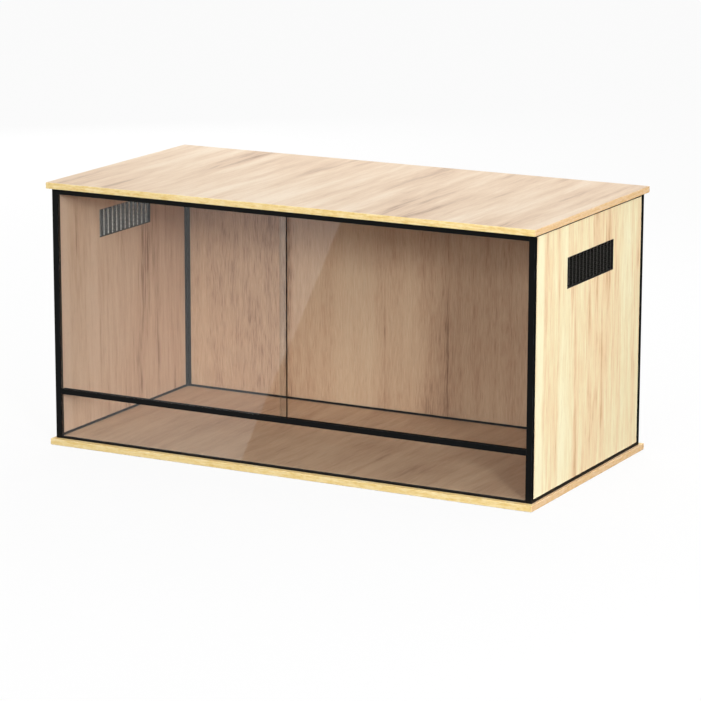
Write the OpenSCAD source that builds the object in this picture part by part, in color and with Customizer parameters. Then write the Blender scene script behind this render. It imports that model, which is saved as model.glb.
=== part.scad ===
// Terrarium cabinet: wood-look panels in a black aluminium frame, two sliding glass doors
// over a fixed lower pane, and a wire mesh vent high in each side.
// Millimetres. X runs along the front, Y from front to back, Z up.
// The origin is the middle of the base board's underside.

/* [Boards] */
// Length of the top and base boards, the cabinet's overall width
board_w = 1200; // [1000:1:1450]
// Depth of the top and base boards, the cabinet's overall depth
board_d = 600; // [450:1:750]
// Thickness of the top and base boards
board_t = 14; // [12:0.5:22]
// Thickness of the banding glued round the boards' edges
band_t = 1; // [0.4:0.1:2]
// Hairline between two bands at a board's corner
band_joint = 0.05; // [0.02:0.01:0.2]
// How far the boards stand out past each side
side_overhang = 7; // [0:0.5:20]
// How far the boards stand out past the front
front_overhang = 14; // [0:0.5:30]
// How far the boards stand out past the back
rear_overhang = 14; // [0:0.5:30]

/* [Body] */
// Height between the base board and the top board
body_h = 574; // [450:1:720]
// Thickness of the side and back panels
panel_t = 12; // [10:0.5:18]
// Thickness of the loose floor panel
floor_t = 5; // [3:0.5:8]
// Gap between the floor panel and the frame round it
floor_gap = 0.4; // [0.2:0.1:2]

/* [Posts] */
// How much wider than a panel's thickness a front post is
post_lap = 2; // [1:0.5:8]
// Depth of a front post, seen from the side
post_d = 11; // [10:0.5:18]
// Wall of the hollow posts
post_wall = 1.5; // [1:0.1:2.2]
// How much wider than a panel's thickness a rear post is
corner_web = 2; // [0.8:0.1:2]
// How far a rear post's inner leg reaches along each panel
inner_leg = 10; // [6:0.5:20]
// Thickness of the legs and lips inside the cabinet
inner_lip_t = 2; // [1.2:0.1:3]

/* [Panel rails] */
// Height of the rails under the side and back panels
bottom_rail_h = 8; // [5:0.5:12]
// Height of the rails over the side and back panels
top_rail_h = 5; // [3:0.5:10]
// Height of a bottom rail's lip inside the cabinet
bottom_lip_h = 10; // [6:0.5:20]
// Wall of the hollow rails
rail_wall = 1.5; // [1:0.1:2]
// Thickness of the tongue that enters a panel's edge
tongue_t = 3; // [2:0.5:4]
// Length of that tongue
tongue_len = 6; // [4:0.5:10]
// Clearance on each side of a tongue
tongue_clear = 0.1; // [0.05:0.05:0.3]
// Clearance past the end of a tongue
tongue_end_clear = 0.5; // [0.2:0.1:1.5]

/* [Door tracks] */
// Thickness of the tracks' outer lips
lip_t = 1.2; // [1:0.1:2]
// Thickness of the wall between the two door grooves
divider_t = 1.5; // [1:0.1:3]
// Clearance on each side of a door in its groove
door_clear = 0.3; // [0.2:0.05:0.6]
// Height of the top track
top_track_h = 13.5; // [12:0.5:25]
// Thickness of the top track's roof
top_track_web = 2; // [1.5:0.1:3]
// Height of the middle rail's underside over the base board
mid_rail_z = 103; // [60:0.5:200]
// Depth of the door grooves in the middle rail
mid_groove_h = 5.4; // [4:0.1:8]
// Thickness of the middle rail's web
mid_web_t = 1.5; // [1.2:0.1:3]
// Depth of the pane channel under the middle rail
mid_channel_h = 4.8; // [3.5:0.1:8]
// Height of the rail in front of the floor
front_rail_h = 4.5; // [4:0.5:10]
// Thickness of that rail's web
front_rail_web = 1.2; // [1:0.1:2]
// How far a rail's web enters the slot in a front post
tenon_len = 3; // [2:0.1:3.4]
// Clearance round a tenon in its slot
tenon_clear = 0.1; // [0.05:0.05:0.2]

/* [Doors and pane] */
// Thickness of the sliding door glass
door_glass_t = 5; // [4:0.5:6]
// Middle of the strip where the closed doors overlap
door_meet_x = -6.5; // [-40:0.5:40]
// Width of that strip
door_overlap = 21; // [10:0.5:60]
// Clearance between a closed door and its post
door_end_clear = 0.5; // [0.3:0.1:2]
// How far a door reaches into the top track
door_top_entry = 5.5; // [4.5:0.1:7]
// Height of the glide pads under a door
glide_h = 1.5; // [0.8:0.1:1.8]
// Length of a glide pad
glide_len = 26; // [15:1:60]
// Distance from a door's side edge to its nearest glide pad
glide_inset = 60; // [20:1:150]
// Running gap between the glide pads and the groove's floor
glide_gap = 0.3; // [0.1:0.05:0.5]
// Radius of the ground corners of the glass
glass_corner_r = 1.5; // [0.5:0.5:4]
// Thickness of the fixed lower pane
pane_t = 4; // [3:0.5:5]
// Gap between the pane's side edges and the posts
pane_end_clear = 0.5; // [0.3:0.1:2]
// Thickness of the gasket under and over the pane
gasket_web = 0.8; // [0.5:0.1:1.2]

/* [Vents] */
// Width of the mesh opening, outside
vent_w = 242; // [150:1:320]
// Height of the mesh opening, outside
vent_h = 68; // [50:1:110]
// Distance from the body's top to the middle of a vent
vent_drop = 109; // [80:1:200]
// Depth of the outer recess that takes the mesh
vent_recess = 8; // [6.5:0.1:8.5]
// Width of the ledge at each end that the mesh sits on
ledge_end = 12; // [5:0.5:20]
// Width of the ledge above and below the mesh
ledge_edge = 3; // [2:0.5:8]
// Wall of the black liner
liner_t = 1.2; // [0.8:0.1:1.5]
// Gap between the mesh and its liner
mesh_gap = 0.1; // [0.05:0.05:0.3]
// Width of one opening of the mesh, wire to wire
mesh_pitch_w = 18.2; // [12:0.1:30]
// Height of one opening of the mesh, wire to wire
mesh_pitch_h = 4.8; // [4:0.1:12]
// Thickness of the mesh wire
wire_d = 1.2; // [0.8:0.1:1.5]

/* [Fasteners] */
// Shank of the long screws that go up into the posts
post_screw_d = 4; // [3:0.5:4.5]
// Length of those screws
post_screw_len = 40; // [30:1:60]
// Head of those screws
post_screw_head_d = 8; // [6:0.5:9]
// Wall of the screw port in a post's middle
port_wall = 1.2; // [0.8:0.1:1.5]
// Depth that the countersunk heads sit under the base board's face
head_sink = 0.3; // [0.1:0.1:1]
// Leg length of the brackets under the top board
bracket_leg = 28; // [20:1:40]
// Width of a bracket
bracket_w = 20; // [14:1:40]
// Thickness of a bracket
bracket_t = 2.5; // [1.5:0.1:4]
// Distance from a bracket's corner to its screws
bracket_screw_at = 16.8; // [12:0.1:22]
// Distance from the cabinet's middle to each bracket, front to back
bracket_y = 180; // [120:1:200]
// Shank of the bracket screws
bracket_screw_d = 3.5; // [2.5:0.5:4]
// How deep a bracket screw goes into the wood
bracket_screw_bite = 9; // [6:0.5:9.5]
// Head of the bracket screws
bracket_screw_head_d = 7; // [5:0.5:8]
// Height of that head
bracket_screw_head_h = 2.2; // [1.5:0.1:3]
// Clearance between a screw and its hole
screw_clear = 0.05; // [0.02:0.01:0.1]

/* [Hidden] */

LEFT = -1;
RIGHT = 1;
eps = 0.01;
round_fn = 48;

// The body that stands between the two boards
body_z0 = board_t;
body_z1 = body_z0 + body_h;
half_w = board_w / 2 - side_overhang;
front_y = -board_d / 2 + front_overhang;
back_y = board_d / 2 - rear_overhang;

// The inner faces of the posts and panels
post_w = panel_t + post_lap;
post_in_x = half_w - post_w;
panel_in_x = half_w - panel_t;
panel_in_y = back_y - panel_t;
lip_in_x = panel_in_x - inner_lip_t;
lip_in_y = panel_in_y - inner_lip_t;
post_back_y = front_y + post_d;
rear_post_w = panel_t + corner_web;
rear_post_x = half_w - rear_post_w;
rear_post_y = back_y - rear_post_w;

// Panels between their rails and posts
panel_z0 = body_z0 + bottom_rail_h;
panel_z1 = body_z1 - top_rail_h;
panel_h = panel_z1 - panel_z0;
side_len = rear_post_y - post_back_y;
side_mid_y = (rear_post_y + post_back_y) / 2;
back_len = 2 * rear_post_x;
slot_t = tongue_t + 2 * tongue_clear;
slot_len = tongue_len + tongue_end_clear;
// The lips of the bottom rails stop where the rear posts' inner legs begin
leg_gap = inner_leg - corner_web;
// A rail's tongue stops short of the tongues of the posts
tongue_stop = slot_len + tongue_clear;

// Tracks: front lip, front groove, divider, rear groove, rear lip
groove_w = door_glass_t + 2 * door_clear;
track_d = 2 * lip_t + 2 * groove_w + divider_t;
channel_d = 2 * lip_t + groove_w;
track_len = 2 * post_in_x;
front_glass_y = front_y + lip_t + door_clear;
rear_glass_y = front_glass_y + groove_w + divider_t;
mid_z0 = body_z0 + mid_rail_z;
mid_web_z = mid_z0 + mid_channel_h;
mid_floor_z = mid_web_z + mid_web_t;
mid_rail_h = mid_channel_h + mid_web_t + mid_groove_h;
top_track_z = body_z1 - top_track_h;
divider_at = lip_t + groove_w;
rear_lip_at = track_d - lip_t;
// The tenons lie inside the front post's hollow and within the shallowest rail
tenon_y0 = post_wall + tenon_clear;
tenon_y1 = min(post_d - post_wall - tenon_clear, channel_d - lip_t);

// Doors
door_z0 = mid_floor_z + glide_gap + glide_h;
door_z1 = top_track_z + door_top_entry;
door_h = door_z1 - door_z0;
door_side_x = post_in_x - door_end_clear;
left_door_edge = door_meet_x + door_overlap / 2;
right_door_edge = door_meet_x - door_overlap / 2;
left_door_w = left_door_edge + door_side_x;
right_door_w = door_side_x - right_door_edge;
glide_t = door_glass_t - 2 * door_clear;

// Lower pane in its two channels
pane_side_x = post_in_x - pane_end_clear;
pane_y = front_y + lip_t + (groove_w - pane_t) / 2;
pane_z0 = body_z0 + front_rail_web + gasket_web;
pane_z1 = mid_web_z - gasket_web;
front_gasket_h = front_rail_h - front_rail_web;

// Vents
vent_z = body_z1 - vent_drop;
slot_w = vent_w - 2 * ledge_end;
slot_h = vent_h - 2 * ledge_edge;
mesh_w = vent_w - 2 * liner_t - 2 * mesh_gap;
mesh_h = vent_h - 2 * liner_t - 2 * mesh_gap;
mesh_back = vent_recess - liner_t;
mesh_cols = floor((mesh_w - wire_d) / mesh_pitch_w);
mesh_rows = floor((mesh_h - wire_d) / mesh_pitch_h);

// Screws
screw_hole_extra = 2 * screw_clear;
FRONT_PORT = [half_w - post_w / 2, front_y + post_d / 2];
REAR_PORT = [half_w - rear_post_w / 2, back_y - rear_post_w / 2];
port_d = post_screw_d + screw_hole_extra;

// A box between two opposite corners
module block(low, high) {
    translate(low) cube(high - low);
}

// A shape drawn for the right side, put on either side
module on_side(side) {
    if (side == RIGHT) children();
    else mirror([1, 0, 0]) children();
}

// A flat profile in Y and Z drawn along X, centred
module along_x(len) {
    translate([-len / 2, 0, 0]) rotate([90, 0, 90]) linear_extrude(len) children();
}

// ---- Boards ----

module board_core(z) {
    block([-board_w / 2 + band_t, -board_d / 2 + band_t, z],
          [board_w / 2 - band_t, board_d / 2 - band_t, z + board_t]);
}

// Four strips: long bands run the full width, short bands fit between them
module board_bands(z) {
    for (s = [-1, 1]) {
        translate([0, s * (board_d - band_t) / 2, z + board_t / 2])
            cube([board_w, band_t, board_t], center = true);
        translate([s * (board_w - band_t) / 2, 0, z + board_t / 2])
            cube([band_t, board_d - 2 * (band_t + band_joint), board_t], center = true);
    }
}

module base_board() color("#e6c795") difference() {
    board_core(0);
    for (side = [LEFT, RIGHT]) on_side(side) for (port = [FRONT_PORT, REAR_PORT]) {
        translate([port.x, port.y, -eps]) cylinder(h = board_t + 2 * eps, d = port_d, $fn = round_fn);
        translate([port.x, port.y, -eps]) post_screw_head(screw_clear);
    }
}

module base_edge_bands() color("#ecd08c") board_bands(0);

module top_board() color("#e6cfb4") difference() {
    board_core(body_z1);
    for (side = [LEFT, RIGHT]) on_side(side) for (y = [-bracket_y, bracket_y])
        translate([panel_in_x - bracket_screw_at, y, body_z1 - eps])
            cylinder(h = bracket_screw_bite + 2 * screw_clear, d = bracket_screw_d + screw_hole_extra,
                     $fn = round_fn);
}

module top_edge_bands() color("#eed792") board_bands(body_z1);

module floor_panel() color("#b89a7c")
    block([-lip_in_x + floor_gap, front_y + channel_d + floor_gap, body_z0],
          [lip_in_x - floor_gap, lip_in_y - floor_gap, body_z0 + floor_t]);

// ---- Panels ----

// The slots round a panel's edges; the panel lies in X (length) and Z, its thickness in Y
module edge_slots(len) {
    for (s = [-1, 1]) {
        translate([s * (len - slot_len + eps) / 2, 0, panel_h / 2])
            cube([slot_len + eps, slot_t, panel_h + 2 * eps], center = true);
        translate([0, 0, panel_h / 2 + s * (panel_h - slot_len + eps) / 2])
            cube([len + 2 * eps, slot_t, slot_len + eps], center = true);
    }
}

module side_panel() difference() {
    block([panel_in_x, post_back_y, panel_z0], [half_w, rear_post_y, panel_z1]);
    translate([half_w - panel_t / 2, side_mid_y, panel_z0])
        rotate([0, 0, 90]) edge_slots(side_len);
    translate([half_w - vent_recess / 2 + eps, 0, vent_z])
        cube([vent_recess + 2 * eps, vent_w, vent_h], center = true);
    translate([half_w - panel_t / 2, 0, vent_z])
        cube([panel_t + 2 * eps, slot_w + 2 * liner_t, slot_h + 2 * liner_t], center = true);
    for (y = [-bracket_y, bracket_y])
        translate([panel_in_x - eps, y, body_z1 - bracket_screw_at]) rotate([0, 90, 0])
            cylinder(h = bracket_screw_bite + 2 * screw_clear, d = bracket_screw_d + screw_hole_extra,
                     $fn = round_fn);
}

module left_side_panel() color("#c9ae92") on_side(LEFT) side_panel();

module right_side_panel() color("#f1dcb4") on_side(RIGHT) side_panel();

module back_panel() color("#a98d72") difference() {
    block([-rear_post_x, panel_in_y, panel_z0], [rear_post_x, back_y, panel_z1]);
    translate([0, back_y - panel_t / 2, panel_z0]) edge_slots(back_len);
}

// ---- Posts ----

// A hollow rectangle with a screw port in its middle, held by a rib
module port_section(w, d) {
    difference() {
        square([w, d]);
        translate([post_wall, post_wall]) square([w - 2 * post_wall, d - 2 * post_wall]);
    }
    difference() {
        union() {
            translate([w / 2, d / 2]) circle(d = port_d + 2 * port_wall, $fn = round_fn);
            translate([w / 2 - port_wall / 2, post_wall / 2]) square([port_wall, d - post_wall]);
        }
        translate([w / 2, d / 2]) circle(d = port_d, $fn = round_fn);
    }
}

// The slot in a front post's inner wall for one rail's tenon
module tenon_slot(z, t) {
    block([post_in_x - eps, front_y + tenon_y0 - tenon_clear, z - tenon_clear],
          [post_in_x + post_wall + eps, front_y + tenon_y1 + tenon_clear, z + t + tenon_clear]);
}

module front_post() difference() {
    union() {
        translate([post_in_x, front_y, body_z0]) linear_extrude(body_h) port_section(post_w, post_d);
        block([half_w - panel_t / 2 - tongue_t / 2, post_back_y - eps, panel_z0 + tongue_clear],
              [half_w - panel_t / 2 + tongue_t / 2, post_back_y + tongue_len, panel_z1 - tongue_clear]);
    }
    tenon_slot(body_z0, front_rail_web);
    tenon_slot(mid_web_z, mid_web_t);
    tenon_slot(body_z1 - top_track_web, top_track_web);
}

module front_left_post() color("#191919") on_side(LEFT) front_post();

module front_right_post() color("#191919") on_side(RIGHT) front_post();

// Hollow corner, a tongue for each panel and an L inside the corner
module rear_post() {
    tongue_at = (panel_t + tongue_t) / 2;
    translate([half_w, back_y, body_z0]) linear_extrude(body_h) {
        translate([-rear_post_w, -rear_post_w]) port_section(rear_post_w, rear_post_w);
        translate([-panel_t - inner_lip_t, -panel_t - inner_leg])
            square([inner_lip_t, inner_leg - corner_web + eps]);
        translate([-panel_t - inner_leg, -panel_t - inner_lip_t])
            square([inner_leg - corner_web + eps, inner_lip_t]);
    }
    translate([half_w, back_y, panel_z0 + tongue_clear]) linear_extrude(panel_h - 2 * tongue_clear) {
        translate([-tongue_at, -rear_post_w - tongue_len]) square([tongue_t, tongue_len + eps]);
        translate([-rear_post_w - tongue_len, -tongue_at]) square([tongue_len + eps, tongue_t]);
    }
}

module rear_left_post() color("#191919") on_side(LEFT) rear_post();

module rear_right_post() color("#191919") on_side(RIGHT) rear_post();

// ---- Rails that hold the panels ----

// Section across a bottom rail: x from the outer face inwards, y up
module bottom_rail_section() difference() {
    square([panel_t + inner_lip_t, bottom_rail_h]);
    translate([rail_wall, -eps]) square([panel_t - 2 * rail_wall, bottom_rail_h - rail_wall + eps]);
}

module top_rail_section() difference() {
    square([panel_t, top_rail_h]);
    translate([rail_wall, rail_wall]) square([panel_t - 2 * rail_wall, top_rail_h - rail_wall + eps]);
}

// A tongue as long as the rail, less what the posts' tongues take
module rail_tongue(len) {
    tongue_run = len - 2 * tongue_stop;
    translate([-tongue_run / 2, (panel_t - tongue_t) / 2, 0]) cube([tongue_run, tongue_t, tongue_len]);
}

// What is cut off a bottom rail's lip from x0 on
module lip_notch(x0, len)
    translate([x0, panel_t, -eps]) cube([len, inner_lip_t + eps, bottom_lip_h + 2 * eps]);

// A bottom rail along X, its outer face at y = 0 and its lip towards +y;
// each end of the lip stops at end_gap[0] or end_gap[1] from the rail's end
module bottom_rail(len, end_gap) {
    difference() {
        union() {
            along_x(len) bottom_rail_section();
            block([-len / 2, panel_t, 0], [len / 2, panel_t + inner_lip_t, bottom_lip_h]);
        }
        lip_notch(-len / 2 - eps, end_gap[0] + eps);
        lip_notch(len / 2 - end_gap[1], end_gap[1] + eps);
    }
    translate([0, 0, bottom_rail_h - eps]) rail_tongue(len);
}

module top_rail(len) {
    along_x(len) top_rail_section();
    translate([0, 0, eps]) mirror([0, 0, 1]) rail_tongue(len);
}

// Puts a rail drawn along X on the right side, its first end at the front
module at_right_side(z)
    translate([half_w, side_mid_y, z]) rotate([0, 0, 90]) children();

// Puts a rail drawn along X at the back, its outer face on the body's back
module at_back(z) translate([0, back_y, z]) rotate([0, 0, 180]) children();

module side_bottom_rail() at_right_side(body_z0) bottom_rail(side_len, [0, leg_gap]);

module side_top_rail() at_right_side(body_z1 - top_rail_h) top_rail(side_len);

module left_bottom_rail() color("#191919") on_side(LEFT) side_bottom_rail();

module right_bottom_rail() color("#191919") on_side(RIGHT) side_bottom_rail();

module rear_bottom_rail() color("#191919")
    at_back(body_z0) bottom_rail(back_len, [leg_gap, leg_gap]);

module left_top_rail() color("#191919") on_side(LEFT) side_top_rail();

module right_top_rail() color("#191919") on_side(RIGHT) side_top_rail();

module rear_top_rail() color("#191919") at_back(body_z1 - top_rail_h) top_rail(back_len);

// ---- Front rails ----

// Upright walls of a track, at the given distances from its front face
module track_walls(starts, widths, z, h) {
    for (i = [0 : len(starts) - 1]) translate([starts[i], z]) square([widths[i], h]);
}

module front_rail_at(z) translate([0, front_y, z]) children();

// The web runs on past the rail's ends as a tenon
module web_tenons(z, t) {
    block([-post_in_x - tenon_len, tenon_y0, z], [post_in_x + tenon_len, tenon_y1, z + t]);
}

module top_door_track() color("#151515") front_rail_at(top_track_z) {
    web_z = top_track_h - top_track_web;
    along_x(track_len) {
        translate([0, web_z]) square([track_d, top_track_web]);
        track_walls([0, divider_at, rear_lip_at], [lip_t, divider_t, lip_t], 0, web_z + eps);
    }
    web_tenons(web_z, top_track_web);
}

module mid_rail() color("#151515") front_rail_at(mid_z0) {
    along_x(track_len) {
        translate([0, mid_channel_h]) square([track_d, mid_web_t]);
        track_walls([0, divider_at, rear_lip_at], [lip_t, divider_t, lip_t],
                    mid_channel_h + mid_web_t - eps, mid_groove_h + eps);
        track_walls([0, divider_at], [lip_t, lip_t], 0, mid_channel_h + eps);
    }
    web_tenons(mid_channel_h, mid_web_t);
}

module front_bottom_rail() color("#151515") front_rail_at(body_z0) {
    along_x(track_len) {
        square([channel_d, front_rail_web]);
        track_walls([0, divider_at], [lip_t, lip_t], front_rail_web - eps, front_gasket_h + eps);
    }
    web_tenons(0, front_rail_web);
}

// ---- Glass ----

// A pane with ground corners, from its lower left front corner
module glass_sheet(w, t, h) {
    translate([w / 2, t, h / 2]) rotate([90, 0, 0]) linear_extrude(t) {
        square([w - 2 * glass_corner_r, h], center = true);
        square([w, h - 2 * glass_corner_r], center = true);
        for (sx = [-1, 1], sy = [-1, 1])
            translate([sx * (w / 2 - glass_corner_r), sy * (h / 2 - glass_corner_r)])
                circle(r = glass_corner_r, $fn = round_fn);
    }
}

module lower_pane() color("#c8bcae", 0.35)
    translate([-pane_side_x, pane_y, pane_z0]) glass_sheet(2 * pane_side_x, pane_t, pane_z1 - pane_z0);

// A U-shaped gasket between the channel's walls, open upwards
module gasket_section(h) difference() {
    translate([lip_t, 0]) square([groove_w, h]);
    translate([lip_t + (groove_w - pane_t) / 2, gasket_web]) square([pane_t, h]);
}

module lower_pane_gaskets() color("#101010") {
    front_rail_at(body_z0 + front_rail_web) along_x(2 * pane_side_x) gasket_section(front_gasket_h);
    front_rail_at(mid_web_z) mirror([0, 0, 1]) along_x(2 * pane_side_x) gasket_section(mid_channel_h);
}

module door_glides(x0, w, y) {
    for (x = [x0 + glide_inset, x0 + w - glide_inset - glide_len])
        translate([x, y + door_clear, door_z0 - glide_h]) cube([glide_len, glide_t, glide_h]);
}

module left_door_glass() color("#c8bcae", 0.35)
    translate([-door_side_x, front_glass_y, door_z0]) glass_sheet(left_door_w, door_glass_t, door_h);

module left_door_glides() color("#26262a") door_glides(-door_side_x, left_door_w, front_glass_y);

module right_door_glass() color("#c8bcae", 0.35)
    translate([right_door_edge, rear_glass_y, door_z0]) glass_sheet(right_door_w, door_glass_t, door_h);

module right_door_glides() color("#26262a") door_glides(right_door_edge, right_door_w, rear_glass_y);

// ---- Vents ----

// A stepped sleeve: it lines the outer recess, forms the mesh's ledge and lines the slot
module vent_liner() translate([half_w, 0, vent_z]) difference() {
    union() {
        translate([-vent_recess / 2, 0, 0]) cube([vent_recess, vent_w, vent_h], center = true);
        translate([-panel_t / 2, 0, 0])
            cube([panel_t, slot_w + 2 * liner_t, slot_h + 2 * liner_t], center = true);
    }
    translate([-mesh_back / 2 + eps, 0, 0])
        cube([mesh_back + 2 * eps, vent_w - 2 * liner_t, vent_h - 2 * liner_t], center = true);
    translate([-panel_t / 2, 0, 0]) cube([panel_t + 2 * eps, slot_w, slot_h], center = true);
}

module left_vent_liner() color("#121212") on_side(LEFT) vent_liner();

module right_vent_liner() color("#121212") on_side(RIGHT) vent_liner();

// The net's rows and columns of gaps, middle on the vent's middle
module vent_mesh() translate([half_w - mesh_back, 0, vent_z]) rotate([90, 0, 90])
    linear_extrude(wire_d) difference() {
        square([mesh_w, mesh_h], center = true);
        for (i = [0 : mesh_cols - 1], j = [0 : mesh_rows - 1])
            translate([(i - (mesh_cols - 1) / 2) * mesh_pitch_w, (j - (mesh_rows - 1) / 2) * mesh_pitch_h])
                square([mesh_pitch_w - wire_d, mesh_pitch_h - wire_d], center = true);
    }

module left_vent_mesh() color("#4a4a4a") on_side(LEFT) vent_mesh();

module right_vent_mesh() color("#4a4a4a") on_side(RIGHT) vent_mesh();

// ---- Brackets and screws ----

// Every bracket's place: its corner under the top board, on the right side's panel
module each_bracket() {
    for (side = [LEFT, RIGHT]) on_side(side) for (y = [-bracket_y, bracket_y])
        translate([panel_in_x, y, body_z1]) children();
}

module bracket() difference() {
    union() {
        block([-bracket_t, -bracket_w / 2, -bracket_leg], [0, bracket_w / 2, 0]);
        block([-bracket_leg, -bracket_w / 2, -bracket_t], [0, bracket_w / 2, 0]);
    }
    translate([-bracket_screw_at, 0, -bracket_t - eps])
        cylinder(h = bracket_t + 2 * eps, d = bracket_screw_d + screw_hole_extra, $fn = round_fn);
    translate([-bracket_t - eps, 0, -bracket_screw_at]) rotate([0, 90, 0])
        cylinder(h = bracket_t + 2 * eps, d = bracket_screw_d + screw_hole_extra, $fn = round_fn);
}

module top_brackets() color("#1c1c1c") each_bracket() bracket();

// A pan-head screw that points up from the bracket's face at z = 0
module bracket_screw() {
    translate([0, 0, -bracket_screw_head_h])
        cylinder(h = bracket_screw_head_h, d = bracket_screw_head_d, $fn = round_fn);
    translate([0, 0, -eps])
        cylinder(h = bracket_t + bracket_screw_bite, d = bracket_screw_d, $fn = round_fn);
}

module bracket_screws() color("#b8b8b4") each_bracket() {
    translate([-bracket_screw_at, 0, -bracket_t]) bracket_screw();
    translate([-bracket_t, 0, -bracket_screw_at]) rotate([0, 90, 0]) bracket_screw();
}

// The countersunk head, grown by a clearance when it cuts its own seat
module post_screw_head(grow = 0) {
    head_h = (post_screw_head_d - post_screw_d) / 2;
    cylinder(h = head_sink + 2 * grow, d = post_screw_head_d + 2 * grow, $fn = round_fn);
    translate([0, 0, head_sink])
        cylinder(h = head_h, d1 = post_screw_head_d + 2 * grow, d2 = post_screw_d + 2 * grow,
                 $fn = round_fn);
}

module post_screw() {
    head_h = (post_screw_head_d - post_screw_d) / 2;
    translate([0, 0, head_sink]) {
        cylinder(h = head_h, d1 = post_screw_head_d, d2 = post_screw_d, $fn = round_fn);
        cylinder(h = post_screw_len, d = post_screw_d, $fn = round_fn);
    }
}

module post_screws() color("#b8b8b4")
    for (side = [LEFT, RIGHT]) on_side(side) for (port = [FRONT_PORT, REAR_PORT])
        translate([port.x, port.y, 0]) post_screw();

// ---- The assembly ----

base_board();
base_edge_bands();
top_board();
top_edge_bands();
floor_panel();
left_side_panel();
right_side_panel();
back_panel();
front_left_post();
front_right_post();
rear_left_post();
rear_right_post();
left_bottom_rail();
right_bottom_rail();
rear_bottom_rail();
left_top_rail();
right_top_rail();
rear_top_rail();
top_door_track();
mid_rail();
front_bottom_rail();
lower_pane();
lower_pane_gaskets();
left_door_glass();
left_door_glides();
right_door_glass();
right_door_glides();
left_vent_liner();
right_vent_liner();
left_vent_mesh();
right_vent_mesh();
top_brackets();
bracket_screws();
post_screws();
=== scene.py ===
"""Looks of the terrarium cabinet: wood-decor boards in a black frame, tinted glass, woven vents.

Metres. X runs along the front, Y from front to back, Z up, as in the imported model.
"""
import math
from collections import namedtuple

import bpy
import numpy as np
from mathutils import Matrix, Vector
from mathutils.geometry import tessellate_polygon


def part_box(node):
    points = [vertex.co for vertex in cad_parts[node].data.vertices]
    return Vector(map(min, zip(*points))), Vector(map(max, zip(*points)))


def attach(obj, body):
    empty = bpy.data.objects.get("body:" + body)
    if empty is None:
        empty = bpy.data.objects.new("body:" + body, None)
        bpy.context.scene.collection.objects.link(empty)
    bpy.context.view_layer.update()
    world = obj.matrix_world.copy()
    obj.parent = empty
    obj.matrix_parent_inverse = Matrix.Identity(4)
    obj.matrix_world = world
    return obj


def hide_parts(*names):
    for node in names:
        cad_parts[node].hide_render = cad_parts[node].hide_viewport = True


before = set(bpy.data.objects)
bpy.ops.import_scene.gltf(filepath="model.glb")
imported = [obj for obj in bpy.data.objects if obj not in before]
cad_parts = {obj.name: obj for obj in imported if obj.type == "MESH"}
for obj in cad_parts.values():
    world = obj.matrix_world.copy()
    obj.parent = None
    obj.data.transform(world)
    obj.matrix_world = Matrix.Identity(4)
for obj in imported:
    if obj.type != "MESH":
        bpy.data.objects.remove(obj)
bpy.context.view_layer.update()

MM = 0.001
LEFT = -1
RIGHT = 1

# ---- Sizes of the real parts, as in the CAD source ----
BAND_T = 1 * MM
BAND_JOINT = 0.05 * MM
PANEL_T = 12 * MM
FRONT_POST_D = 11 * MM
REAR_POST_W = 14 * MM
POST_WALL = 1.5 * MM
PORT_WALL = 1.2 * MM
PORT_D = 4.1 * MM
INNER_LEG = 10 * MM
INNER_LIP_T = 2 * MM
BOTTOM_RAIL_H = 8 * MM
BOTTOM_LIP_H = 10 * MM
TOP_RAIL_H = 5 * MM
RAIL_WALL = 1.5 * MM
LIP_T = 1.2 * MM
DIVIDER_T = 1.5 * MM
GROOVE_W = 5.6 * MM
TOP_WEB_T = 2 * MM
MID_WEB_T = 1.5 * MM
MID_CHANNEL_H = 4.8 * MM
FRONT_WEB_T = 1.2 * MM
TENON_LEN = 3 * MM
TENON_Y = (1.6 * MM, 6.8 * MM)
GASKET_WEB = 0.8 * MM
GLASS_CORNER_R = 1.5 * MM
GLIDE_LEN = 26 * MM
GLIDE_CORNER_R = 0.8 * MM
TONGUE_T = 3 * MM
TONGUE_LEN = 6 * MM
TONGUE_STOP = 6.6 * MM
VENT_W = 242 * MM
VENT_H = 68 * MM
VENT_RECESS = 8 * MM
LEDGE_END = 12 * MM
LEDGE_EDGE = 3 * MM
LINER_T = 1.2 * MM
MESH_PITCH_W = 18.2 * MM
MESH_PITCH_H = 4.8 * MM
BRACKET_LEG = 28 * MM
BRACKET_W = 20 * MM
BRACKET_T = 2.5 * MM
BRACKET_Y = 180 * MM
BRACKET_SCREW_AT = 16.8 * MM
BODY_HALF_W = 593 * MM
BODY_HALF_D = 286.5 * MM
PANEL_MID_X = 587 * MM
# A board's end, where its short strips of banding lie
BAND_END = (598.5 * MM, 599.2 * MM)

# ---- The vents' net ----
WIRE_R = 0.6 * MM
WIRE_SIDES = 6
# Where the four wires of an upright lie, in wire radii
UPRIGHT_STRANDS = (-3, -1, 1, 3)
# How far a wire swings out of the net, and its rings in a cell
UPRIGHT_BEND = (0.25 * MM, 6)
LEVEL_BEND = (0.60 * MM, 8)
GAUZE_PITCH = 0.62 * MM
GAUZE_WIRE = 0.29 * MM
NET_MID_X = 587.3 * MM
# The least share of black spray on the level wires, where 0.44 is bare and 0.54 is covered
LEVEL_SPRAY = 0.53

# ---- Edges that a maker eases ----
ARC_STEPS = 4
BAND_EASE = 0.8 * MM
BAND_INNER_EASE = 0.1 * MM
BAND_CORNER_R = 0.2 * MM
FRAME_EASE = 0.35 * MM
TONGUE_EASE = 0.2 * MM
POST_EASE = 0.8 * MM
GASKET_EASE = 0.18 * MM
LINER_EASE = 0.25 * MM
BRACKET_EASE = 0.6 * MM
# A glide pad's underside and top
GLIDE_EASE = (0.4 * MM, 0.1 * MM)
GLASS_ARRIS = (0.7 * MM, 0.7 * MM)
SHARP_ANGLE = math.radians(32)

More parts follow.
